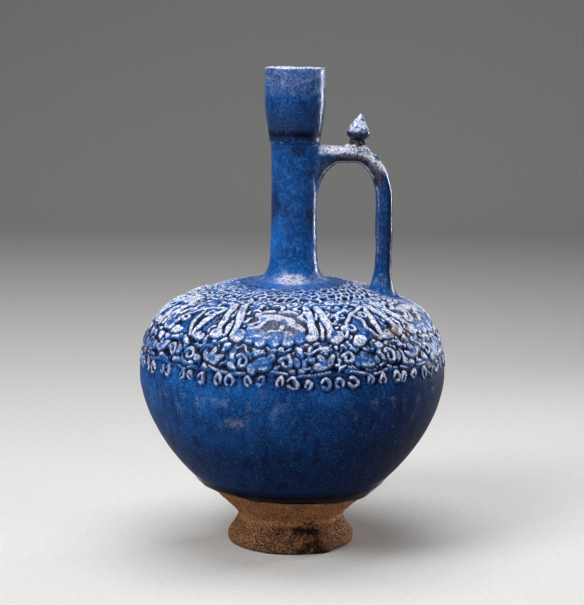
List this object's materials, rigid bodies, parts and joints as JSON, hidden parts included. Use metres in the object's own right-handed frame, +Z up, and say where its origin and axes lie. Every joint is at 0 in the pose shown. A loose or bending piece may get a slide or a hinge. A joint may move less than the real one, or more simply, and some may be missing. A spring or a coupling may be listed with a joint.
{
  "type": "ceramic jug",
  "caption": "Blue-glazed pouring jug: round moulded body with relief shoulder, tall neck, cup mouth, looped handle with bud thumb rest, bare flared foot.",
  "frame": {"origin": "centre of the foot's resting ring, on the table", "axes": "+Z up along the neck, +X towards the handle"},
  "size_m": [0.1856, 0.1856, 0.29],
  "materials": {
    "cobalt_glaze": "cobalt glaze, mottled and finely pitted",
    "relief_glaze": "cobalt glaze, dark in the hollows and pale on the high relief",
    "pooled_glaze": "thick glossy glaze, nearly black",
    "bare_clay": "unglazed, sandy and stained",
    "inner_clay": "unglazed",
    "pale_clay": "crumbly, thinly glazed"
  },
  "bodies": {
    "root": {"foot": "bare_clay", "lower_bowl": "cobalt_glaze", "glaze_roll": "pooled_glaze", "belly_coil": "inner_clay", "shoulder": "relief_glaze", "neck": "cobalt_glaze", "neck_fillet": "cobalt_glaze", "collar_ring": "cobalt_glaze", "mouth": "cobalt_glaze", "handle_upper_root": "cobalt_glaze", "handle": "cobalt_glaze", "handle_lower_root": "cobalt_glaze", "bud_seat": "pale_clay", "bud": "cobalt_glaze"}
  },
  "joints": []
}
